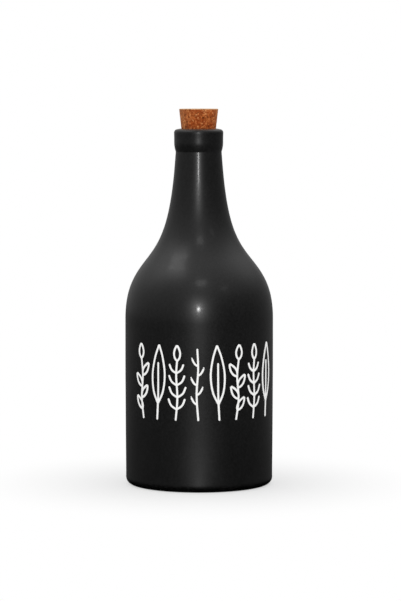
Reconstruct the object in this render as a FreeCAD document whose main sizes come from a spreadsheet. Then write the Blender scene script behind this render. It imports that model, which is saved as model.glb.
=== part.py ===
# Stoneware vinegar bottle, closed with a tapered cork.
#
# Frame: millimetres, +Z up along the bottle's axis, origin at the centre of the foot, on the
# surface that the bottle stands on. Both pieces are round, so each is a revolved outline.
#
#   bottle  foot ring round a shallow recess, nearly straight wall, one S-shaped curve for
#           the shoulder and neck, a raised collar with a domed lip, and the cork's seat
#   cork    tapered stopper, seated in the mouth and standing above the lip
#
# The bottle is opaque and shut, so below the cork's seat it is one solid.

import FreeCAD
import Part
import Sketcher
import os

# Driving dimensions in millimetres: name, value, what it is.
SIZES = (
    ("body_radius", 45.0, "widest radius of the body"),
    ("wall_draft", 0.3, "how much narrower the wall is at the foot"),
    ("body_height", 100.8, "height of the wall, from the foot to the start of the shoulder"),
    ("shoulder_height", 101.4, "from the start of the shoulder up to the collar"),
    ("shoulder_rise", 23.0, "height over which the shoulder still follows the wall"),
    ("waist_reach", 13.1, "how far the curve's middle pole stands outside the neck"),
    ("waist_rise", 38.0, "height of that pole above the start of the shoulder"),
    ("neck_flare", 2.35, "how far the curve's upper pole stands outside the neck"),
    ("neck_drop", 38.8, "depth of that pole below the collar"),
    ("collar_height", 14.0, "collar, from its lower edge to the lip"),
    ("collar_step", 0.88, "how far the collar stands out from the neck"),
    ("collar_bevel", 5.6, "height of the collar's rounded lower part"),
    ("lip_wall", 4.3, "thickness of the lip round the mouth"),
    ("lip_fall", 0.8, "how far the lip falls from the mouth to the collar's side"),
    ("lip_round", 2.2, "rounding of the lip's outer edge"),
    ("mouth_round", 0.7, "rounding of the lip's inner edge"),
    ("notch_round", 1.2, "glaze-filled rounding under the collar"),
    ("foot_round", 4.6, "rounding between the wall and the foot"),
    ("foot_ring", 7.0, "width of the flat ring that the bottle stands on"),
    ("foot_recess", 1.5, "depth of the recess inside the foot ring"),
    ("recess_slope", 2.5, "width of the slope round the recess"),
    ("cork_top_radius", 11.9, "cork's radius at its top"),
    ("cork_tip_radius", 8.85, "cork's radius at its tip"),
    ("cork_length", 27.0, "whole length of the cork"),
    ("cork_stand", 11.9, "how far the cork stands above the lip"),
    ("cork_edge", 0.45, "rounding of the cork's two edges"),
    ("cork_clearance", 0.1, "gap between the cork and its seat, on the side and below"),
)

# Sizes that follow from the driving dimensions, as expressions on the sheet.
NECK_TOP = "Sizes.body_height + Sizes.shoulder_height"
LIP_TOP = f"{NECK_TOP} + Sizes.collar_height"
CORK_TOP = f"{LIP_TOP} + Sizes.cork_stand"
CORK_TIP = f"{CORK_TOP} - Sizes.cork_length"
CORK_TAPER = "(Sizes.cork_top_radius - Sizes.cork_tip_radius) / Sizes.cork_length"
SEAT_FLOOR = f"{CORK_TIP} - Sizes.cork_clearance"
SEAT_TIP_RADIUS = f"Sizes.cork_tip_radius + (1 - {CORK_TAPER}) * Sizes.cork_clearance"
SEAT_TOP_RADIUS = "Sizes.cork_top_radius + Sizes.cork_clearance"
MOUTH_RADIUS = f"{SEAT_TOP_RADIUS} - {CORK_TAPER} * Sizes.cork_stand"
COLLAR_RADIUS = f"{MOUTH_RADIUS} + Sizes.lip_wall"
NECK_RADIUS = f"{COLLAR_RADIUS} - Sizes.collar_step"
FOOT_RADIUS = "Sizes.body_radius - Sizes.wall_draft"
RING_INNER_RADIUS = f"{FOOT_RADIUS} - Sizes.foot_round - Sizes.foot_ring"

# The Sketcher's numbers for the origin and axes, and for the places on a line or a curve.
ORIGIN = -1
X_AXIS = -1
Y_AXIS = -2
START = 1
END = 2
CENTRE = 3

SAME = 1e-4


def make_sheet(doc):
    """The spreadsheet that every size comes from: a name, a value and a note on each row."""
    sheet = doc.addObject("Spreadsheet::Sheet", "Sizes")
    for row, (name, value, note) in enumerate(SIZES, start=1):
        sheet.set(f"A{row}", name)
        sheet.set(f"B{row}", str(value))
        sheet.set(f"C{row}", note)
        sheet.setAlias(f"B{row}", name)
    doc.recompute()


def size(doc, expression):
    """What an expression on the sheet comes to, in millimetres. None is a zero."""
    return 0.0 if expression is None else float(doc.Sizes.evalExpression(expression))


def point(doc, radius, height):
    """A point of an outline, from its two expressions."""
    return FreeCAD.Vector(size(doc, radius), size(doc, height), 0)


def add_line(sketch, start, end):
    """A straight side of an outline."""
    return sketch.addGeometry(Part.LineSegment(start, end))


def add_shoulder(sketch, start, end):
    """The side from the wall to the collar: one cubic B-spline with five poles."""
    inner_poles = (
        ("rise", "Sizes.body_radius", "Sizes.body_height + Sizes.shoulder_rise"),
        ("waist", f"{NECK_RADIUS} + Sizes.waist_reach", "Sizes.body_height + Sizes.waist_rise"),
        ("flare", f"{NECK_RADIUS} + Sizes.neck_flare", f"{NECK_TOP} - Sizes.neck_drop"),
    )
    poles = [start]
    poles += [point(sketch.Document, radius, height) for _, radius, height in inner_poles]
    poles += [end]
    spline = Part.BSplineCurve()
    spline.buildFromPolesMultsKnots(poles, [4, 1, 4], [0.0, 0.5, 1.0], False, 3)
    side = sketch.addGeometry(spline)
    sketch.exposeInternalGeometry(side)
    first_pole = side + 1
    for pole, (name, radius, height) in enumerate(inner_poles, start=first_pole + 1):
        tie_point(sketch, pole, CENTRE, name, radius, height)
    return side


def add_collar_bevel(sketch, start, end):
    """The collar's lower side: an arc that leaves the neck and ends upright."""
    step = end.x - start.x
    rise = end.y - start.y
    radius = (step**2 + rise**2) / (2 * step)
    circle = Part.Circle(end - FreeCAD.Vector(radius, 0, 0), FreeCAD.Vector(0, 0, 1), radius)
    arc = Part.ArcOfCircle(circle, circle.parameter(start), circle.parameter(end))
    return sketch.addGeometry(arc)


def tie_point(sketch, side, place, name, radius, height):
    """Ties a point of a sketch to the sheet. None puts it on the axis, or at the foot."""
    for kind, axis, label, expression in (
        ("DistanceX", Y_AXIS, "radius", radius),
        ("DistanceY", X_AXIS, "height", height),
    ):
        if expression is None:
            sketch.addConstraint(Sketcher.Constraint("PointOnObject", side, place, axis))
            continue
        value = size(sketch.Document, expression)
        constraint = Sketcher.Constraint(kind, ORIGIN, START, side, place, value)
        number = sketch.addConstraint(constraint)
        sketch.renameConstraint(number, f"{name}_{label}")
        sketch.setExpression(f"Constraints.{name}_{label}", expression)


def make_outline(body, name, corners, curves=None, smooth=()):
    """A closed outline, in the plane through the axis.

    corners lists (name, radius, height) in order, each size an expression or None for zero.
    A side is straight, unless curves has another maker under the name of its first corner.
    At the corners named in smooth, the two sides run into each other without a kink.
    """
    curves = curves or {}
    sketch = body.newObject("Sketcher::SketchObject", name)
    plane = next(face for face in body.Origin.OriginFeatures if face.Role == "XZ_Plane")
    sketch.AttachmentSupport = [(plane, "")]
    sketch.MapMode = "FlatFace"

    points = [point(body.Document, radius, height) for _, radius, height in corners]
    sides = []
    for corner, start, end in zip(corners, points, points[1:] + points[:1]):
        make_side = curves.get(corner[0], add_line)
        sides.append(make_side(sketch, start, end))

    for before, side, corner in zip(sides[-1:] + sides, sides, corners):
        kind = "Tangent" if corner[0] in smooth else "Coincident"
        sketch.addConstraint(Sketcher.Constraint(kind, before, END, side, START))
        tie_point(sketch, side, START, *corner)
    return sketch


def turn(body, name, kind, sketch):
    """A Revolution or a Groove: a full turn of an outline about the axis."""
    feature = body.newObject(f"PartDesign::{kind}", name)
    feature.Profile = sketch
    feature.ReferenceAxis = (sketch, ["V_Axis"])
    feature.Angle = 360
    body.Document.recompute()


def round_ring(body, name, radius, height, rounding):
    """Rounds the one circular edge at this radius and height."""
    want_radius = size(body.Document, radius)
    want_height = size(body.Document, height)
    before = body.Tip
    edges = [
        f"Edge{number}"
        for number, edge in enumerate(before.Shape.Edges, start=1)
        if isinstance(edge.Curve, Part.Circle)
        and abs(edge.Curve.Radius - want_radius) < SAME
        and abs(edge.Curve.Center.z - want_height) < SAME
    ]
    if len(edges) != 1:
        raise RuntimeError(f"{name}: {len(edges)} edges match, not one")
    fillet = body.newObject("PartDesign::Fillet", name)
    fillet.Base = (before, edges)
    fillet.setExpression("Radius", rounding)
    body.Document.recompute()


def make_bottle(doc):
    """The ceramic bottle."""
    body = doc.addObject("PartDesign::Body", "bottle")
    outline = make_outline(
        body,
        "bottle_outline",
        (
            ("recess_centre", None, "Sizes.foot_recess"),
            ("recess_edge", f"{RING_INNER_RADIUS} - Sizes.recess_slope", "Sizes.foot_recess"),
            ("ring_edge", RING_INNER_RADIUS, None),
            ("foot", FOOT_RADIUS, None),
            ("shoulder", "Sizes.body_radius", "Sizes.body_height"),
            ("notch", NECK_RADIUS, NECK_TOP),
            ("collar", COLLAR_RADIUS, f"{NECK_TOP} + Sizes.collar_bevel"),
            ("lip_edge", COLLAR_RADIUS, f"{LIP_TOP} - Sizes.lip_fall"),
            ("mouth", MOUTH_RADIUS, LIP_TOP),
            ("mouth_centre", None, LIP_TOP),
        ),
        curves={"shoulder": add_shoulder, "notch": add_collar_bevel},
        smooth=("collar",),
    )
    turn(body, "bottle_solid", "Revolution", outline)
    round_ring(body, "foot_rounding", FOOT_RADIUS, None, "Sizes.foot_round")
    round_ring(body, "notch_rounding", NECK_RADIUS, NECK_TOP, "Sizes.notch_round")
    lip_edge_height = f"{LIP_TOP} - Sizes.lip_fall"
    round_ring(body, "lip_rounding", COLLAR_RADIUS, lip_edge_height, "Sizes.lip_round")

    solid_volume = body.Shape.Volume
    seat = make_outline(
        body,
        "seat_outline",
        (
            ("floor_centre", None, SEAT_FLOOR),
            ("floor_edge", SEAT_TIP_RADIUS, SEAT_FLOOR),
            ("seat_edge", SEAT_TOP_RADIUS, CORK_TOP),
            ("seat_centre", None, CORK_TOP),
        ),
    )
    turn(body, "cork_seat", "Groove", seat)
    if body.Shape.Volume >= solid_volume:
        raise RuntimeError("cork_seat: the groove cuts nothing")
    round_ring(body, "mouth_rounding", MOUTH_RADIUS, LIP_TOP, "Sizes.mouth_round")
    return body


def make_cork(doc):
    """The tapered cork, at its place in the mouth."""
    body = doc.addObject("PartDesign::Body", "cork")
    outline = make_outline(
        body,
        "cork_outline",
        (
            ("tip_centre", None, CORK_TIP),
            ("tip_edge", "Sizes.cork_tip_radius", CORK_TIP),
            ("top_edge", "Sizes.cork_top_radius", CORK_TOP),
            ("top_centre", None, CORK_TOP),
        ),
    )
    turn(body, "cork_solid", "Revolution", outline)
    round_ring(body, "tip_rounding", "Sizes.cork_tip_radius", CORK_TIP, "Sizes.cork_edge")
    round_ring(body, "top_rounding", "Sizes.cork_top_radius", CORK_TOP, "Sizes.cork_edge")
    return body


def check(doc, bodies):
    """Stops if any object of the document failed, or a body isn't one valid solid."""
    for item in doc.Objects:
        if "Invalid" in item.State or "Error" in item.State:
            raise RuntimeError(f"{item.Name}: {item.State}")
    for body in bodies:
        if body.Shape.isNull() or not body.Shape.isValid() or len(body.Shape.Solids) != 1:
            raise RuntimeError(f"{body.Label}: not one valid solid")


def write(bodies):
    """Writes each body to its own STEP file, under its label."""
    os.makedirs("parts", exist_ok=True)
    for body in bodies:
        body.Shape.exportStep(f"parts/{body.Label}.step")
        box = body.Shape.optimalBoundingBox(False)
        print(
            f"{body.Label}: {box.XLength:.2f} x {box.YLength:.2f} x {box.ZLength:.2f} mm, "
            f"z {box.ZMin:.2f} to {box.ZMax:.2f}, {body.Shape.Volume / 1000:.1f} cm3"
        )


doc = FreeCAD.newDocument("vinegar_bottle")
make_sheet(doc)
bodies = [make_bottle(doc), make_cork(doc)]
doc.recompute()
check(doc, bodies)
write(bodies)
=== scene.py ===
# Looks of a black stoneware vinegar bottle with a tapered cork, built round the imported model.
#
# Everything is in metres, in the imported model's frame: +Z up along the bottle's axis, the
# origin under the foot, and -Y towards the front. The ceramic and the cork replace their
# plain CAD nodes with finer meshes of the same size. The white line work lies on the glaze.

import math

import bpy
import numpy as np
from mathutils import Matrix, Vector, kdtree, noise


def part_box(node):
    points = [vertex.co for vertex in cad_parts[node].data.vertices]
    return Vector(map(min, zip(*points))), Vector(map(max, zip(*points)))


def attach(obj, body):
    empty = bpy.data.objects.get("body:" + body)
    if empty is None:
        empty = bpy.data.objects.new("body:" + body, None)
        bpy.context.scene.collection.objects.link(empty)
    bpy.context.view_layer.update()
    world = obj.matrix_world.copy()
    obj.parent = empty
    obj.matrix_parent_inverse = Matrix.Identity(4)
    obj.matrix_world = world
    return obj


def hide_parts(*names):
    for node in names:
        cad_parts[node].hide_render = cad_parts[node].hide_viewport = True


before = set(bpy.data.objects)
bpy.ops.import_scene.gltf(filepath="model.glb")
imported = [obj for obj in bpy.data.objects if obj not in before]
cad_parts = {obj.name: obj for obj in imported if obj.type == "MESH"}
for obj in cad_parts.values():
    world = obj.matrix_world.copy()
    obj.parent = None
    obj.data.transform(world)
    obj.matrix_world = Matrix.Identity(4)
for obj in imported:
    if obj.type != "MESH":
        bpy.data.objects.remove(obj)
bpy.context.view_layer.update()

MM = 0.001
TAU = 2 * math.pi

# ---------------------------------------------------------------- sizes

_, BOTTLE_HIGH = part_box("bottle")
CORK_LOW, CORK_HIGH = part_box("cork")
BODY_RADIUS = BOTTLE_HIGH.x
WALL_TOP = 100.8 * MM
SHOULDER_HEIGHT = 101.4 * MM
COLLAR_HEIGHT = 14.0 * MM
COLLAR_STEP = 0.88 * MM
COLLAR_BEVEL = 5.6 * MM
NECK_TOP = WALL_TOP + SHOULDER_HEIGHT
LIP_TOP = NECK_TOP + COLLAR_HEIGHT
LIP_WALL = 4.3 * MM
MOUTH_RADIUS = 10.66 * MM
COLLAR_RADIUS = MOUTH_RADIUS + LIP_WALL
NECK_RADIUS = COLLAR_RADIUS - COLLAR_STEP
CORK_TIP_RADIUS = 8.85 * MM
CORK_TOP_RADIUS = 11.9 * MM
CORK_TAPER = (CORK_TOP_RADIUS - CORK_TIP_RADIUS) / (CORK_HIGH.z - CORK_LOW.z)

# The ceramic's faint unevenness: swells up to three times SWELL deep, and ripples on them.
SWELL = 0.05 * MM
RIPPLE = 0.012 * MM
MEAN_INSET = 2 * SWELL + RIPPLE


# ---------------------------------------------------------------- small sums

def rising(values, start, end):
    """0 up to start, 1 from end on, and a straight rise between them."""
    return np.clip((values - start) / (end - start), 0, 1)


def eased(values, start, end):
    """0 up to start, 1 from end on, and a smooth rise between them."""
    share = rising(values, start, end)
    return share**2 * (3 - 2 * share)


def hump(distance, width):
    """1 at no distance, and smoothly less farther away: about a third at the width."""
    return math.exp(-((distance / width) ** 2))


# ---------------------------------------------------------------- outlines

def between(start, end, step):
    """Points from start up to, and not including, end, about a step apart."""
    start, end = np.array(start, float), np.array(end, float)
    count = max(1, round(np.linalg.norm(end - start) / step))
    return [start + (end - start) * i / count for i in range(count)]


def b_spline(poles, inner_knots, count):
    """Points of a clamped cubic B-spline, both ends included."""
    poles = np.array(poles, float)
    knots = [0.0] * 4 + list(inner_knots) + [1.0] * 4
    points = []
    for t in np.linspace(0, 1, count):
        span = min(max(i for i in range(3, len(poles)) if knots[i] <= t), len(poles) - 1)
        local = [poles[i] for i in range(span - 3, span + 1)]
        for level in range(1, 4):
            for i in range(3, level - 1, -1):
                low = knots[span - 3 + i]
                share = (t - low) / (knots[span + 1 + i - level] - low)
                local[i] = (1 - share) * local[i - 1] + share * local[i]
        points.append(local[3])
    return points


def rounded(before, corner, after, radius, steps):
    """Points of the arc that rounds the corner between two straight runs."""
    corner = np.array(corner, float)
    back = np.array(before, float) - corner
    ahead = np.array(after, float) - corner
    back /= np.linalg.norm(back)
    ahead /= np.linalg.norm(ahead)
    half = math.acos(np.clip(back @ ahead, -1, 1)) / 2
    middle = (back + ahead) / np.linalg.norm(back + ahead)
    centre = corner + middle * radius / math.sin(half)
    first = corner + back * radius / math.tan(half) - centre
    last = corner + ahead * radius / math.tan(half) - centre
    turn = math.pi - 2 * half
    points = []
    for i in range(steps + 1):
        share = i / steps
        weights = math.sin((1 - share) * turn), math.sin(share * turn)
        points.append(centre + (first * weights[0] + last * weights[1]) / math.sin(turn))
    return points


def wall_radius(height):
    """Radius of the body's wall: a little narrower towards the foot."""
    fullest = 85 * MM
    narrowing = 0.4 * MM
    return BODY_RADIUS - narrowing * max(0, 1 - height / fullest) ** 2


def foot_outline():
    """From the middle of the recess, round the foot ring and up to the top of the wall."""
    foot_round = 4.6 * MM
    foot_ring = 7 * MM
    ring_round = 1.0 * MM
    recess_height = 1.5 * MM
    recess_slope = 2.5 * MM
    recess_round = 1.5 * MM
    foot = (wall_radius(0), 0)
    foot_end = (wall_radius(foot_round), foot_round)
    ring_inner = (foot[0] - foot_round - foot_ring, 0)
    recess_edge = (ring_inner[0] - recess_slope, recess_height)
    recess_centre = (0, recess_height)

    outline = between(recess_centre, recess_edge, step=2 * MM)[:-1]
    outline += rounded(recess_centre, recess_edge, ring_inner, recess_round, steps=4)
    outline += rounded(recess_edge, ring_inner, foot, ring_round, steps=4)
    outline += between(outline[-1], (foot[0] - foot_round, 0), step=1 * MM)[1:]
    outline += rounded(ring_inner, foot, foot_end, foot_round, steps=14)
    heights = np.arange(foot_round + 1 * MM, WALL_TOP - 1 * MM, 2 * MM)
    outline += [(wall_radius(height), height) for height in heights]
    return outline


def neck_outline():
    """The shoulder and neck as one S-shaped curve, and the collar's rounded lower side."""
    shoulder_rise = 23 * MM
    waist_reach = 13.1 * MM
    waist_rise = 38 * MM
    neck_flare = 2.35 * MM
    neck_drop = 38.8 * MM
    notch_round = 1.2 * MM
    neck_pole = (NECK_RADIUS + neck_flare, NECK_TOP - neck_drop)
    notch = (NECK_RADIUS, NECK_TOP)
    poles = [
        (BODY_RADIUS, WALL_TOP),
        (BODY_RADIUS, WALL_TOP + shoulder_rise),
        (NECK_RADIUS + waist_reach, WALL_TOP + waist_rise),
        neck_pole,
        notch,
    ]
    shoulder = b_spline(poles, inner_knots=[0.5], count=120)

    bevel_radius = (COLLAR_STEP**2 + COLLAR_BEVEL**2) / (2 * COLLAR_STEP)
    bevel_centre = (COLLAR_RADIUS - bevel_radius, NECK_TOP + COLLAR_BEVEL)
    bevel_angle = math.asin(COLLAR_BEVEL / bevel_radius)
    bevel = [
        (
            bevel_centre[0] + bevel_radius * math.cos(angle),
            bevel_centre[1] + bevel_radius * math.sin(angle),
        )
        for angle in np.linspace(-bevel_angle, 0, 14)
    ]
    notch_arc = rounded(neck_pole, notch, bevel[1], notch_round, steps=6)
    outline = [point for point in shoulder if point[1] < notch_arc[0][1]]
    outline += notch_arc
    outline += [point for point in bevel if point[1] > notch_arc[-1][1]]
    return outline


def mouth_outline():
    """From the collar's side over the domed lip, and down the mouth to the seat's floor."""
    lip_fall = 0.8 * MM
    lip_round = 2.2 * MM
    mouth_round = 0.7 * MM
    cork_clearance = 0.1 * MM
    seat_floor = CORK_LOW.z - cork_clearance
    seat_radius = MOUTH_RADIUS - CORK_TAPER * (LIP_TOP - seat_floor)
    collar_start = (COLLAR_RADIUS, NECK_TOP + COLLAR_BEVEL)
    lip_edge = (COLLAR_RADIUS, LIP_TOP - lip_fall)
    mouth = (MOUTH_RADIUS, LIP_TOP)
    seat_edge = (seat_radius, seat_floor)
    seat_centre = (0, seat_floor)
    lip_arc = rounded(collar_start, lip_edge, mouth, lip_round, steps=12)
    mouth_arc = rounded(lip_edge, mouth, seat_edge, mouth_round, steps=8)

    outline = between(collar_start, lip_arc[0], step=1 * MM)[1:]
    outline += lip_arc
    outline += between(lip_arc[-1], mouth_arc[0], step=0.5 * MM)[1:]
    outline += mouth_arc
    outline += between(mouth_arc[-1], seat_edge, step=1.5 * MM)[1:]
    outline += between(seat_edge, seat_centre, step=3 * MM)
    outline += [seat_centre]
    return outline


def groove(radius, height):
    """How deep the faint groove round the neck, right under the collar, is at a place."""
    deepest = 0.08 * MM
    fade = 3 * MM
    if radius < MOUTH_RADIUS + 1 * MM:
        return 0.0
    return deepest * math.exp(-abs(height - NECK_TOP) / fade)


def ceramic_outline():
    """(radius, height) from the middle of the recess, up the outside and down into the seat."""
    outline = foot_outline() + neck_outline() + mouth_outline()
    return [(float(radius) - groove(radius, height), float(height)) for radius, height in outline]


def cork_outline():
    """(radius, height) of the cork, from the middle of its tip to the middle of its top.

    Its points are close together where it shows, and far apart in the mouth.
    """
    fine_step = 0.2 * MM
    coarse_step = 1 * MM
    edge_round = 0.45 * MM
    below_lip = 1 * MM
    radius_there = CORK_TOP_RADIUS - CORK_TAPER * (CORK_HIGH.z - LIP_TOP + below_lip)
    showing = (radius_there, LIP_TOP - below_lip)
    tip_centre = (0, CORK_LOW.z)
    tip = (CORK_TIP_RADIUS, CORK_LOW.z)
    top = (CORK_TOP_RADIUS, CORK_HIGH.z)
    top_centre = (0, CORK_HIGH.z)
    tip_arc = rounded(tip_centre, tip, top, edge_round, steps=3)
    top_arc = rounded(tip, top, top_centre, edge_round, steps=4)

    outline = between(tip_centre, tip_arc[0], coarse_step)
    outline += tip_arc
    outline += between(tip_arc[-1], showing, coarse_step)[1:]
    outline += between(showing, top_arc[0], fine_step)
    outline += top_arc
    outline += between(top_arc[-1], top_centre, fine_step)[1:]
    outline += [top_centre]
    return [(float(radius), float(height)) for radius, height in outline]


# ---------------------------------------------------------------- meshes

def mesh_object(name, vertices, faces, material=None):
    """A new smooth-shaded mesh object."""
    mesh = bpy.data.meshes.new(name)
    mesh.from_pydata([tuple(vertex) for vertex in vertices], [], faces)
    mesh.shade_smooth()
    piece = bpy.data.objects.new(name, mesh)
    bpy.context.scene.collection.objects.link(piece)
    if material:
        mesh.materials.append(material)
    return piece


def store(piece, name, values):
    """Keeps a number for each vertex of a piece, for its material to read."""
    attribute = piece.data.attributes.new(name, "FLOAT", "POINT")
    attribute.data.foreach_set("value", np.array(values, np.float32))


def lathe(outline, columns):
    """Vertices and faces of a closed outline turned about Z. Its two ends are on the axis."""
    rings = np.array(outline[1:-1])
    angles = np.arange(columns) * TAU / columns
    around = np.column_stack((np.cos(angles), np.sin(angles)))
    vertices = [(0.0, 0.0, outline[0][1])]
    for radius, height in rings:
        vertices += [(radius * x, radius * y, height) for x, y in around]
    vertices.append((0.0, 0.0, outline[-1][1]))

    def at(ring, column):
        """The number of a vertex. After a ring's last column comes its first."""
        return 1 + ring * columns + column % columns

    faces = [(0, at(0, j + 1), at(0, j)) for j in range(columns)]
    for i in range(len(rings) - 1):
        faces += [(at(i, j), at(i, j + 1), at(i + 1, j + 1), at(i + 1, j)) for j in range(columns)]
    last = len(vertices) - 1
    faces += [(at(len(rings) - 1, j), at(len(rings) - 1, j + 1), last) for j in range(columns)]
    return np.array(vertices), faces


def lean(heights):
    """How far the hand-finished neck leans along X at these heights: a little to the left."""
    most = -0.30 * MM
    start = 125 * MM
    end = 160 * MM
    return most * eased(heights, start, end)


def make_ceramic():
    """The glazed bottle, with the faint unevenness of cast stoneware on its outside.

    The unevenness fades out towards the seat, the foot and the lip.
    """
    columns = 192
    swell_width = 30 * MM
    ripple_width = 8 * MM
    vertices, faces = lathe(ceramic_outline(), columns)
    radii = np.hypot(vertices[:, 0], vertices[:, 1])
    heights = vertices[:, 2]
    uneven = rising(radii, MOUTH_RADIUS + 1 * MM, MOUTH_RADIUS + 3 * MM)
    uneven *= rising(heights, 2 * MM, 8 * MM)
    uneven *= 1 - rising(heights, LIP_TOP - 5.5 * MM, LIP_TOP - 1.5 * MM)
    for i in np.nonzero(uneven)[0]:
        place = Vector(vertices[i])
        relief = SWELL * (noise.noise(place / swell_width) - 2)
        relief += RIPPLE * (noise.noise(place / ripple_width) - 1)
        vertices[i, :2] *= 1 + uneven[i] * relief / radii[i]
    vertices[:, 0] += lean(heights)
    return mesh_object("ceramic_bottle", vertices, faces, glaze_material())


def granule_centres(rng):
    """Centres of the cork's granules: a grid of points, each moved at random."""
    pitch = 0.95 * MM
    shift = 0.42 * pitch
    reach = CORK_TOP_RADIUS + pitch
    across = np.arange(-reach, reach, pitch)
    up = np.arange(CORK_LOW.z, CORK_HIGH.z + pitch, pitch)
    centres = np.stack(np.meshgrid(across, across, up), axis=-1).reshape(-1, 3)
    return centres + rng.uniform(-shift, shift, centres.shape)


def wander(place):
    """A smooth random vector at a place, the same in every run."""
    apart = Vector((37.1, 11.7, 23.9))
    return Vector([noise.noise(place + apart * number) for number in range(3)])


def make_cork():
    """The pressed-cork stopper: granules with seams between them, and pits where one fell out."""
    columns = 400
    seed = 21
    seam_width = 0.24 * MM
    seam_depth = 0.10 * MM
    step_depth = 0.06 * MM
    pit_depth = 0.35 * MM
    pit_share = 0.05
    wander_width = 0.8 * MM
    wander_reach = 0.30 * MM
    grain_width = 0.45 * MM
    grain_depth = 0.03 * MM
    rng = np.random.default_rng(seed)
    centres = granule_centres(rng)
    tones = rng.random(len(centres))
    pitted = rng.random(len(centres)) < pit_share
    tree = kdtree.KDTree(len(centres))
    for i, centre in enumerate(centres):
        tree.insert(centre, i)
    tree.balance()

    vertices, faces = lathe(cork_outline(), columns)
    piece = mesh_object("cork_stopper", vertices, faces, cork_material())
    normals = np.zeros(len(vertices) * 3)
    piece.data.vertices.foreach_get("normal", normals)
    normals = normals.reshape(-1, 3)

    tone, seam, pit = np.zeros((3, len(vertices)), np.float32)
    for i, vertex in enumerate(vertices):
        place = Vector(vertex)
        place += wander(place / wander_width) * wander_reach
        (_, first, near), (_, _, far) = tree.find_n(place, 2)
        inside = min((far - near) / seam_width, 1)
        seam[i] = 1 - inside
        tone[i] = tones[first]
        pit[i] = pitted[first] * inside
        grain = grain_depth * (noise.noise(place / grain_width) - 1)
        depth = seam_depth * seam[i] ** 2 + pit_depth * pit[i] + step_depth * tones[first] - grain
        vertices[i] -= normals[i] * depth
    vertices[:, 0] += lean(vertices[:, 2])
    piece.data.vertices.foreach_set("co", vertices.astype(np.float32).ravel())
    store(piece, "tone", tone)
    store(piece, "seam", seam)
    store(piece, "pit", pit)
    piece.data.update()
    return piece


# ---------------------------------------------------------------- line work

def smooth_path(points, step):
    """Points about a step apart on the Catmull-Rom curve through the given points."""
    points = [np.array(point, float) for point in points]
    ends = [2 * points[0] - points[1], *points, 2 * points[-1] - points[-2]]
    path = []
    for a, b, c, d in zip(ends, ends[1:], ends[2:], ends[3:]):
        count = max(2, round(np.linalg.norm(c - b) / step))
        for t in np.arange(count) / count:
            path.append(
                0.5 * (2 * b + (c - a) * t + (2 * a - 5 * b + 4 * c - d) * t**2
                       + (3 * b - a - 3 * c + d) * t**3)
            )
    path.append(points[-1])
    return path


def on_wall(across, height, lift):
    """The place on the front wall that lies this far round it from the middle of the front."""
    radius = wall_radius(height) - MEAN_INSET + lift
    angle = across / BODY_RADIUS
    return (radius * math.sin(angle), -radius * math.cos(angle), height)


def stroke_stations(points, width):
    """Where a stroke's ribs go: (place, direction across it, half width, share of thickness)."""
    step = 0.35 * MM
    first_turn = 0.35
    cap_ribs = 5
    wobble = 0.05
    wobble_length = 6 * MM
    half = width / 2
    path = np.array(smooth_path(points, step))
    run = np.concatenate(([0], np.cumsum(np.linalg.norm(np.diff(path, axis=0), axis=1))))
    ahead = np.gradient(path, axis=0)
    ahead /= np.linalg.norm(ahead, axis=1)[:, None]
    side = np.column_stack((ahead[:, 1], -ahead[:, 0]))

    turns = np.linspace(first_turn, math.pi / 2, cap_ribs)
    cap = [half * (1 - math.cos(turn)) for turn in turns]
    inner = run[(run > half) & (run < run[-1] - half)]
    stations = []
    for distance in [*cap, *inner, *(run[-1] - length for length in reversed(cap))]:
        from_end = min(distance, run[-1] - distance, half)
        share = math.sqrt(max(0, 1 - (1 - from_end / half) ** 2))
        place = [np.interp(distance, run, path[:, k]) for k in (0, 1)]
        aside = [np.interp(distance, run, side[:, k]) for k in (0, 1)]
        bulge = 1 + wobble * noise.noise(Vector((place[0], place[1], 0)) / wobble_length)
        stations.append((place, aside, half * share * bulge, share))
    return stations


def brush_stroke(points, width):
    """Vertices and faces of one stroke of thick paint, with round ends, along a path."""
    thickness = 0.11 * MM
    sunk = 0.12 * MM
    flatness = 0.6
    ribs = 8
    stations = stroke_stations(points, width)
    vertices = []
    for place, aside, half, share in stations:
        for rib in range(ribs):
            angle = TAU * rib / ribs
            x = math.cos(angle) * half
            up = math.sin(angle)
            rise = thickness * share * abs(up) ** flatness if up > 0 else -sunk * abs(up)
            vertices.append(on_wall(place[0] + aside[0] * x, place[1] + aside[1] * x, rise))
    faces = []
    for i in range(len(stations) - 1):
        for rib in range(ribs):
            other = (rib + 1) % ribs
            low = i * ribs
            high = low + ribs
            faces.append((low + rib, high + rib, high + other, low + other))
    faces.append(tuple(range(ribs)))
    faces.append(tuple(range(len(vertices) - ribs, len(vertices)))[::-1])
    return vertices, faces


# The motifs' paths are in millimetres, across from a motif's middle and up from its foot.
# way is 1 or -1, the side to which a motif leans.

def leaf(base, tip, fullness):
    """The two edges of a pointed leaf, each a path from its base to its tip."""
    base, tip = np.array(base, float), np.array(tip, float)
    along = tip - base
    aside = np.array((along[1], -along[0])) / np.linalg.norm(along)
    shape = ((0.22, 0.78), (0.5, 1.0), (0.78, 0.62))
    edges = []
    for sign in (-1, 1):
        bulge = [base + along * share + aside * sign * fullness * wide for share, wide in shape]
        edges.append([base, *bulge, tip])
    return edges


def stem_place(stem, height):
    """Where a stem is at a height."""
    return np.array((np.interp(height, [p[1] for p in stem], [p[0] for p in stem]), height))


def long_leaf(way):
    """One tall leaf on a stem, with a midrib that stops short of the tip."""
    stem = [(-0.6 * way, 0), (-0.1 * way, 9), (0.2 * way, 17), (0.3 * way, 36)]
    return [stem, *leaf((-0.05 * way, 10), (1.0 * way, 47), 4.3)]


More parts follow.
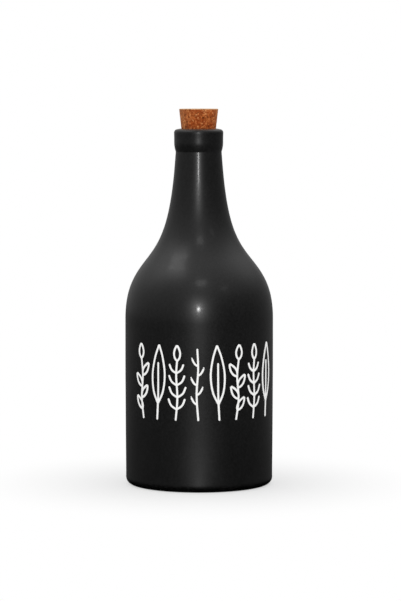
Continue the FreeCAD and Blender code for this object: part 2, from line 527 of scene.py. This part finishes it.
def paired_sprig(way):
    """A stem with pairs of short upswept leaves and a leaf at its tip."""
    stem = [(0.8 * way, 0), (-0.3 * way, 14), (0.4 * way, 28), (-0.2 * way, 38)]
    strokes = [stem, *leaf((-0.2 * way, 37), (-0.1 * way, 47), 1.9)]
    for height, length in ((7, 6.6), (14.5, 6.6), (22, 6.2), (29.5, 5.6)):
        foot = stem_place(stem, height)
        for side in (-1, 1):
            bend = foot + (side * length * 0.52, length * 0.38)
            tip = foot + (side * length * 0.80, length * 1.02)
            strokes.append([foot, bend, tip])
    return strokes


def oval_sprig(way):
    """A curved stem with closed oval leaves that leave it in turn."""
    stem = [(-1.2 * way, 0), (0.5 * way, 13), (-0.5 * way, 27), (0.6 * way, 38)]
    strokes = [stem, *leaf((0.6 * way, 37.5), (0.9 * way, 47), 2.0)]
    for number, height in enumerate((6, 13, 20, 27)):
        side = way * (-1) ** number
        foot = stem_place(stem, height)
        strokes += leaf(foot, foot + (side * 5.2, 8.2), 1.75)
    return strokes


def berry_sprig(way):
    """A stem with small round berries on short stalks."""
    stem = [(0.4 * way, 0), (-0.6 * way, 16), (0.3 * way, 32), (-0.2 * way, 45)]
    strokes = [stem]
    for number, height in enumerate((10, 16, 22, 28, 34)):
        side = -way * (-1) ** number
        foot = stem_place(stem, height)
        berry = foot + (side * 3.6, 4.6)
        strokes.append([foot, foot + (side * 2.0, 1.6), berry])
        strokes.append([berry + (-0.35, 0.2), berry + (0.35, 0.6)])
    return strokes


def make_line_work(material):
    """The row of drawn leaves and sprigs on the front, one piece for each motif.

    The lines are drawn bolder towards the sides, so that they look alike from the front.
    """
    row_foot = 43.5
    row_middle = 5.4
    pitch = 12.6
    tallness = 0.96
    line_width = 1.25 * MM
    boldness = 0.45
    row = (
        oval_sprig, long_leaf, paired_sprig, berry_sprig,
        long_leaf, oval_sprig, paired_sprig, long_leaf,
    )
    pieces = []
    for number, motif in enumerate(row):
        middle = row_middle + (number - (len(row) - 1) / 2) * pitch
        width = line_width / math.cos(middle * MM / BODY_RADIUS) ** boldness
        way = 1 if number % 2 else -1
        vertices, faces = [], []
        for stroke in motif(way):
            path = [((middle + x) * MM, (row_foot + y * tallness) * MM) for x, y in stroke]
            more_vertices, more_faces = brush_stroke(path, width)
            offset = len(vertices)
            vertices += more_vertices
            faces += [tuple(offset + index for index in face) for face in more_faces]
        pieces.append(mesh_object(f"leaf_motif_{number + 1}", vertices, faces, material))
    return pieces


# ---------------------------------------------------------------- materials

class Shading:
    """A material's node tree, with a short call for each kind of node that is used here."""

    def __init__(self, name):
        self.material = bpy.data.materials.new(name)
        self.material.use_nodes = True
        self.tree = self.material.node_tree
        self.surface = self.tree.nodes["Principled BSDF"]
        self.output = self.tree.nodes["Material Output"].inputs["Surface"]
        self.place = self.add("ShaderNodeTexCoord").outputs["Object"]

    def add(self, kind, **settings):
        """A new node with these settings."""
        node = self.tree.nodes.new(kind)
        for name, value in settings.items():
            setattr(node, name, value)
        return node

    def link(self, value, socket):
        """Sets a socket to a number or a colour, or links an output to it."""
        if isinstance(value, bpy.types.NodeSocket):
            self.tree.links.new(value, socket)
        else:
            socket.default_value = value

    def set(self, **values):
        """Sets the surface's own sockets, named with _ for a space."""
        for name, value in values.items():
            self.link(value, self.surface.inputs[name.replace("_", " ")])

    def axis(self, name):
        """The place's X, Y or Z."""
        split = self.add("ShaderNodeSeparateXYZ")
        self.link(self.place, split.inputs[0])
        return split.outputs[name]

    def noise(self, size, detail=2.0, roughness=0.5):
        """Noise from 0 to 1 whose patches are about this size in metres."""
        node = self.add("ShaderNodeTexNoise")
        self.link(self.place, node.inputs["Vector"])
        self.link(1 / size, node.inputs["Scale"])
        self.link(detail, node.inputs["Detail"])
        self.link(roughness, node.inputs["Roughness"])
        return node.outputs["Fac"]

    def attribute(self, name):
        """The number that store() kept under this name."""
        return self.add("ShaderNodeAttribute", attribute_name=name).outputs["Fac"]

    def remap(self, value, low, high, to_low, to_high, kind="LINEAR"):
        """value from low to high, brought to to_low to to_high and held there."""
        node = self.add("ShaderNodeMapRange", interpolation_type=kind)
        for number, source in enumerate((value, low, high, to_low, to_high)):
            self.link(source, node.inputs[number])
        return node.outputs["Result"]

    def ramp(self, value, stops):
        """A colour ramp from (place, colour) stops."""
        node = self.add("ShaderNodeValToRGB")
        elements = node.color_ramp.elements
        for number, (place, colour) in enumerate(stops):
            element = elements[number] if number < 2 else elements.new(place)
            element.position = place
            element.color = (*colour, 1)
        self.link(value, node.inputs["Fac"])
        return node.outputs["Color"]

    def mix(self, share, first, second):
        """Two colours mixed: the first at share 0, the second at 1."""
        node = self.add("ShaderNodeMix", data_type="RGBA")
        for name, value in (("Factor", share), ("A", first), ("B", second)):
            sockets = [s for s in node.inputs if s.name == name and s.enabled]
            self.link((*value, 1) if isinstance(value, tuple) else value, sockets[0])
        return next(s for s in node.outputs if s.enabled)

    def bump(self, height, strength, distance):
        """Relief for the surface, over what an earlier bump already gives it."""
        node = self.add("ShaderNodeBump")
        self.link(strength, node.inputs["Strength"])
        self.link(distance, node.inputs["Distance"])
        self.link(height, node.inputs["Height"])
        normal = self.surface.inputs["Normal"]
        if normal.is_linked:
            self.link(normal.links[0].from_socket, node.inputs["Normal"])
        self.link(node.outputs["Normal"], normal)


def glaze_material():
    """Satin black glaze: a soft sheen, with a thin smoother skin that gives the sharp lights.

    The skin is thinner on the neck. The lip's rim is paler: partly glaze wearing thin there,
    partly a painted reflection of the cork and the light.
    """
    black = (0, 0, 0)
    near_black = (0.0030, 0.0030, 0.0032)
    charcoal = (0.0054, 0.0054, 0.0056)
    rim_wear_and_reflection = (0.105, 0.078, 0.064)
    shade = Shading("satin_black_glaze")
    height = shade.axis("Z")
    colour = shade.ramp(shade.noise(14 * MM, detail=4), [(0.3, near_black), (0.7, charcoal)])
    mottle = shade.noise(1.2 * MM, detail=3, roughness=0.7)
    colour = shade.mix(shade.remap(mottle, 0.38, 0.66, 0.0, 1.0), black, colour)
    # Painted reflection: the top of the lip is tinted greyish brown, partly thin glaze and partly
    # the cork and light that it reflects.
    rim = shade.remap(height, LIP_TOP - 1.1 * MM, LIP_TOP - 0.3 * MM, 0.0, 1.0)
    colour = shade.mix(rim, colour, rim_wear_and_reflection)
    speck = shade.noise(0.4 * MM, detail=1)
    shade.set(Base_Color=colour, Roughness=shade.remap(speck, 0.32, 0.68, 0.28, 0.44))
    shade.set(Coat_Weight=shade.remap(height, 140 * MM, 170 * MM, 0.2, 0.105))
    shade.set(IOR=1.5, Coat_Roughness=0.125, Coat_IOR=1.5)
    shade.bump(shade.noise(1.1 * MM, detail=2), 0.04, 0.05 * MM)
    shade.bump(shade.noise(0.35 * MM, detail=1), 0.04, 0.015 * MM)
    return shade.material


def cork_material():
    """Pressed cork: granules of many browns, dark seams, pits darkened with painted shade, and a
    fine grain.

    Broad patches of it are tan. Its two sides are painted paler as light and sheen there, and its
    top edge and face are painted pale as a highlight.
    """
    browns = [
        (0.0, (0.165, 0.016, 0.001)),
        (0.30, (0.320, 0.056, 0.009)),
        (0.65, (0.490, 0.118, 0.029)),
        (0.85, (0.660, 0.215, 0.068)),
        (1.0, (0.820, 0.370, 0.140)),
    ]
    tan = (0.52, 0.185, 0.050)
    pale = (0.50, 0.230, 0.090)
    reddish = (0.270, 0.042, 0.009)
    dark_grain = (0.21, 0.036, 0.006)
    top_highlight = (0.86, 0.54, 0.28)
    dark_seam = (0.11, 0.024, 0.006)
    pit_shade = (0.075, 0.014, 0.004)
    # Painted light and sheen: the cork's left and right sides are mixed towards pale over these X
    # ranges.
    left_side = (-4.5 * MM, -9.5 * MM, 0.5)
    right_side = (8.0 * MM, 11.0 * MM, 0.45)
    top = CORK_HIGH.z

    shade = Shading("pressed_cork")
    colour = shade.ramp(shade.attribute("tone"), browns)
    patch = shade.noise(7 * MM, detail=1)
    colour = shade.mix(shade.remap(patch, 0.42, 0.62, 0.0, 0.35), colour, tan)
    across = shade.axis("X")
    # Painted light: paler towards each side of the cork.
    for start, end, share in (left_side, right_side):
        colour = shade.mix(shade.remap(across, start, end, 0.0, share), colour, pale)
    blotch = shade.noise(2.4 * MM, detail=2)
    colour = shade.mix(shade.remap(blotch, 0.50, 0.66, 0.0, 0.55), colour, reddish)
    grain = shade.noise(0.5 * MM, detail=4, roughness=0.65)
    colour = shade.mix(shade.remap(grain, 0.35, 0.65, 0.0, 0.45), colour, dark_grain)
    # Painted highlight: the cork's top edge and face are mixed towards pale cream.
    top_highlight_share = shade.remap(shade.axis("Z"), top - 0.60 * MM, top - 0.15 * MM, 0.0, 0.85)
    colour = shade.mix(top_highlight_share, colour, top_highlight)
    seam = shade.remap(shade.attribute("seam"), 0.1, 1, 0, 0.7)
    colour = shade.mix(seam, colour, dark_seam)
    # Painted shade: the pits where a granule fell out are darkened in colour.
    pit = shade.remap(shade.attribute("pit"), 0, 1, 0, 0.8)
    colour = shade.mix(pit, colour, pit_shade)
    shade.set(Base_Color=colour, Roughness=shade.remap(grain, 0.3, 0.7, 0.72, 0.92))
    shade.set(Specular_IOR_Level=0.03, Sheen_Weight=0.12, Sheen_Roughness=0.4)
    shade.set(Sheen_Tint=(1.0, 0.75, 0.5, 1))
    shade.bump(grain, 0.5, 0.06 * MM)
    return shade.material


def paint_material():
    """White ceramic paint, a little uneven where the brush went."""
    off_white = (0.89, 0.89, 0.88)
    white = (0.95, 0.95, 0.94)
    shade = Shading("white_ceramic_paint")
    patch = shade.noise(2.5 * MM, detail=3)
    colour = shade.ramp(patch, [(0.3, off_white), (0.7, white)])
    shade.set(Base_Color=colour, Roughness=shade.remap(patch, 0.3, 0.7, 0.40, 0.52))
    shade.bump(shade.noise(0.6 * MM, detail=2), 0.15, 0.03 * MM)
    return shade.material


# ---------------------------------------------------------------- world and table

def seen_plainly(tree):
    """1 for rays from the camera and those seen in a reflection or through glass, 0 for others."""
    path = tree.nodes.new("ShaderNodeLightPath")
    total = path.outputs["Is Camera Ray"]
    for name in ("Is Glossy Ray", "Is Transmission Ray"):
        most = tree.nodes.new("ShaderNodeMath")
        most.operation = "MAXIMUM"
        tree.links.new(total, most.inputs[0])
        tree.links.new(path.outputs[name], most.inputs[1])
        total = most.outputs[0]
    return total


def make_world(ambient):
    """A white surround that lights the object at the level of ambient."""
    world = bpy.data.worlds.new("studio")
    bpy.context.scene.world = world
    world.use_nodes = True
    tree = world.node_tree
    background = tree.nodes["Background"]
    background.inputs["Color"].default_value = (1, 1, 1, 1)
    level = tree.nodes.new("ShaderNodeMapRange")
    tree.links.new(seen_plainly(tree), level.inputs["Value"])
    level.inputs["To Min"].default_value = ambient
    level.inputs["To Max"].default_value = 1.0
    tree.links.new(level.outputs["Result"], background.inputs["Strength"])


def turned_sheet(name, outline, columns=96):
    """An open sheet: a (radius, height) outline turned about Z."""
    angles = [TAU * j / columns for j in range(columns)]
    vertices = [
        (radius * math.cos(angle), radius * math.sin(angle), height)
        for radius, height in outline for angle in angles
    ]
    faces = [
        (i * columns + j, i * columns + (j + 1) % columns,
         (i + 1) * columns + (j + 1) % columns, (i + 1) * columns + j)
        for i in range(len(outline) - 1) for j in range(columns)
    ]
    return mesh_object(name, vertices, faces)


def make_floor():
    """A pale round table top that keeps the shadow and turns into the white surround."""
    hub = 0.5 * MM
    rim = 0.45
    rings = 24
    pale = (0.92, 0.92, 0.92, 1)
    fade_start = 0.045
    fade_end = 0.15
    whiteness_at_foot = 0.55
    floor = turned_sheet("table_top", [(radius, 0.0) for radius in np.linspace(hub, rim, rings)])
    shade = Shading("white_table")
    shade.set(Base_Color=pale, Roughness=0.9, Specular_IOR_Level=0.1)
    white = shade.add("ShaderNodeEmission")
    radius = shade.add("ShaderNodeVectorMath", operation="LENGTH")
    shade.link(shade.place, radius.inputs[0])
    fade = shade.remap(
        radius.outputs["Value"], fade_start, fade_end, whiteness_at_foot, 1.0, "SMOOTHSTEP"
    )
    whiteness = shade.add("ShaderNodeMath", operation="MULTIPLY")
    shade.link(fade, whiteness.inputs[0])
    shade.link(seen_plainly(shade.tree), whiteness.inputs[1])
    both = shade.add("ShaderNodeMixShader")
    sources = (whiteness.outputs[0], shade.surface.outputs[0], white.outputs[0])
    for number, source in enumerate(sources):
        shade.link(source, both.inputs[number])
    shade.link(both.outputs[0], shade.output)
    floor.data.materials.append(shade.material)


# ---------------------------------------------------------------- what the glaze reflects

# The tent's brightness low down and overhead, in front and behind.
TENT_FRONT = (0.26, 0.68)
TENT_BACK = (0.27, 0.87)

# Glowing panels of the tent, painted lights for the glaze to reflect: azimuth, elevation and width
# in degrees, and brightness.
GLOWING_PANELS = (
    (-100, 51, 18, 0.54),
    (-84, 56, 7, 0.50),
    (-68, 60, 7, 0.60),
    (-48, 60, 7, 0.60),
    (-58, 62, 13, 0.20),
    (118, 56, 24, 0.42),
)

# Light patches on the ground in front: radius, depth, width in degrees, and brightness.
GROUND_PATCHES = (
    (0.16, 0.07, 18, 0.55),
    (0.085, 0.03, 5, 0.80),
)

# Radii of the ground sheet's rings, out to the tent: closer together near the foot.
GROUND_RINGS = (
    0.0415, 0.045, 0.05, 0.06, 0.07, 0.08, 0.09, 0.1, 0.115, 0.13, 0.16, 0.2, 0.26, 0.35, 0.5,
)


def towards(azimuth, elevation):
    """The unit vector at these angles in degrees. Azimuth 0 is in front and 90 on the right."""
    turn = math.radians(azimuth)
    up = math.radians(elevation)
    return Vector((math.sin(turn) * math.cos(up), -math.cos(turn) * math.cos(up), math.sin(up)))


def tent_glow_level(azimuth, elevation):
    """How brightly the tent glows in a direction: darker low down and on the right, with glowing
    panels.
    """
    right_shade = 0.24
    low_right_shade = 0.4
    height = elevation / 90
    right_side = max(0.0, math.sin(math.radians(azimuth)))
    front = np.interp(height, (0, 1), TENT_FRONT) * (1 - right_shade * right_side * (1 - height))
    back = np.interp(height, (0, 1), TENT_BACK)
    behind = eased(abs(azimuth), 90, 150)
    level = front * (1 - behind) + back * behind
    for panel_azimuth, panel_elevation, width, brightness in GLOWING_PANELS:
        apart = towards(azimuth, elevation).angle(towards(panel_azimuth, panel_elevation))
        level += brightness * hump(math.degrees(apart), width)
    right = eased(azimuth, 8, 40) * (1 - eased(azimuth, 140, 170))
    low_down = 1 - eased(elevation, 15, 38)
    return level * (1 - low_right_shade * right * low_down)


def ground_level(radius, azimuth):
    """How brightly the dark ground glows at a place: with light patches in front, and black at the
    foot as painted shade.
    """
    plain = 0.08
    more_behind = 0.04
    more_right = 0.05
    behind = eased(abs(azimuth), 100, 150)
    right_side = max(0.0, math.sin(math.radians(azimuth)))
    # Painted shade: the ground's extra brightness fades out near the bottle.
    open_ground = eased(radius, 0.1, 0.5)
    # Painted shade: black where the foot meets the ground.
    past_foot = eased(radius, 0.043, 0.06)
    level = plain + (more_behind * behind + more_right * right_side) * open_ground
    for middle, depth, width, brightness in GROUND_PATCHES:
        level += brightness * hump(radius - middle, depth) * hump(azimuth, width)
    return past_foot * level


def make_tent():
    """A glowing tent, open at the top, which only shows where the glaze reflects it, as painted
    reflections.
    """
    reach = 2.4
    ground_height = 0.3 * MM
    lowest = 0.3
    opening = 80
    rows = 46
    columns = 120
    elevations = np.linspace(lowest, opening, rows)
    radii = (*GROUND_RINGS, reach)
    outline = [(radius, ground_height) for radius in radii]
    outline += [
        (reach * math.cos(math.radians(angle)), reach * math.sin(math.radians(angle)))
        for angle in elevations
    ]
    azimuths = [(360 * j / columns + 90 + 180) % 360 - 180 for j in range(columns)]
    levels = [ground_level(radius, azimuth) for radius in radii for azimuth in azimuths]
    levels += [tent_glow_level(azimuth, angle) for angle in elevations for azimuth in azimuths]
    tent = turned_sheet("glowing_reflection_tent", outline, columns)
    store(tent, "level", levels)

    shade = Shading("glowing_tent_cloth")
    glow = shade.add("ShaderNodeEmission")
    shade.link(shade.attribute("level"), glow.inputs["Strength"])
    shade.link(glow.outputs[0], shade.output)
    tent.data.materials.append(shade.material)
    tent.visible_camera = False
    tent.visible_diffuse = False
    tent.visible_shadow = False


# ---------------------------------------------------------------- lights and camera

def aim(item, target):
    """Points a lamp or the camera at a place."""
    direction = Vector(target) - item.location
    item.rotation_euler = direction.to_track_quat("-Z", "Y").to_euler()


def lamp(name, azimuth, elevation, distance, shape, size, level, roll=0):
    """An area lamp aimed at the bottle. level is how much it lights a white surface."""
    target = Vector((0, 0, 110 * MM))
    data = bpy.data.lights.new(name, "AREA")
    data.shape = shape
    data.size, data.size_y = size
    data.energy = level * (math.pi * distance) ** 2
    item = bpy.data.objects.new(name, data)
    bpy.context.scene.collection.objects.link(item)
    item.location = target + towards(azimuth, elevation) * distance
    item.visible_camera = False
    aim(item, target)
    item.rotation_euler.rotate_axis("Z", math.radians(roll))


def make_lights():
    """A small light near the camera, a long one on the left, and two faint square ones."""
    lamp("front_light", -0.9, 10.1, 1.75, "ELLIPSE", (0.11, 0.13), level=0.172)
    lamp("soft_light", -72, 60, 1.4, "ELLIPSE", (0.72, 0.12), level=0.022, roll=30)
    lamp("top_light", 4, 48.4, 1.5, "RECTANGLE", (0.38, 0.26), level=0.03)
    lamp("side_light", 47.5, 36, 1.5, "RECTANGLE", (0.28, 0.14), level=0.0045)


def make_camera():
    """In front, a little above the cork's top, looking slightly down."""
    distance = 1.7
    height = 0.247
    aside = 0.8 * MM
    target_height = 111.82 * MM
    data = bpy.data.cameras.new("camera")
    data.lens = 168.11
    data.sensor_width = 36
    data.clip_start = 0.01
    data.dof.use_dof = False
    camera = bpy.data.objects.new("camera", data)
    bpy.context.scene.collection.objects.link(camera)
    camera.location = (aside, -distance, height)
    aim(camera, (aside, 0, target_height))
    bpy.context.scene.camera = camera


# ---------------------------------------------------------------- the scene


ceramic = make_ceramic()
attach(ceramic, "root")
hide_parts("bottle")

cork = make_cork()
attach(cork, "root")
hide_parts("cork")

for motif in make_line_work(paint_material()):
    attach(motif, "root")

make_world(ambient=0.85)
make_floor()
make_tent()
make_lights()
make_camera()
bpy.context.scene.view_settings.view_transform = "Standard"
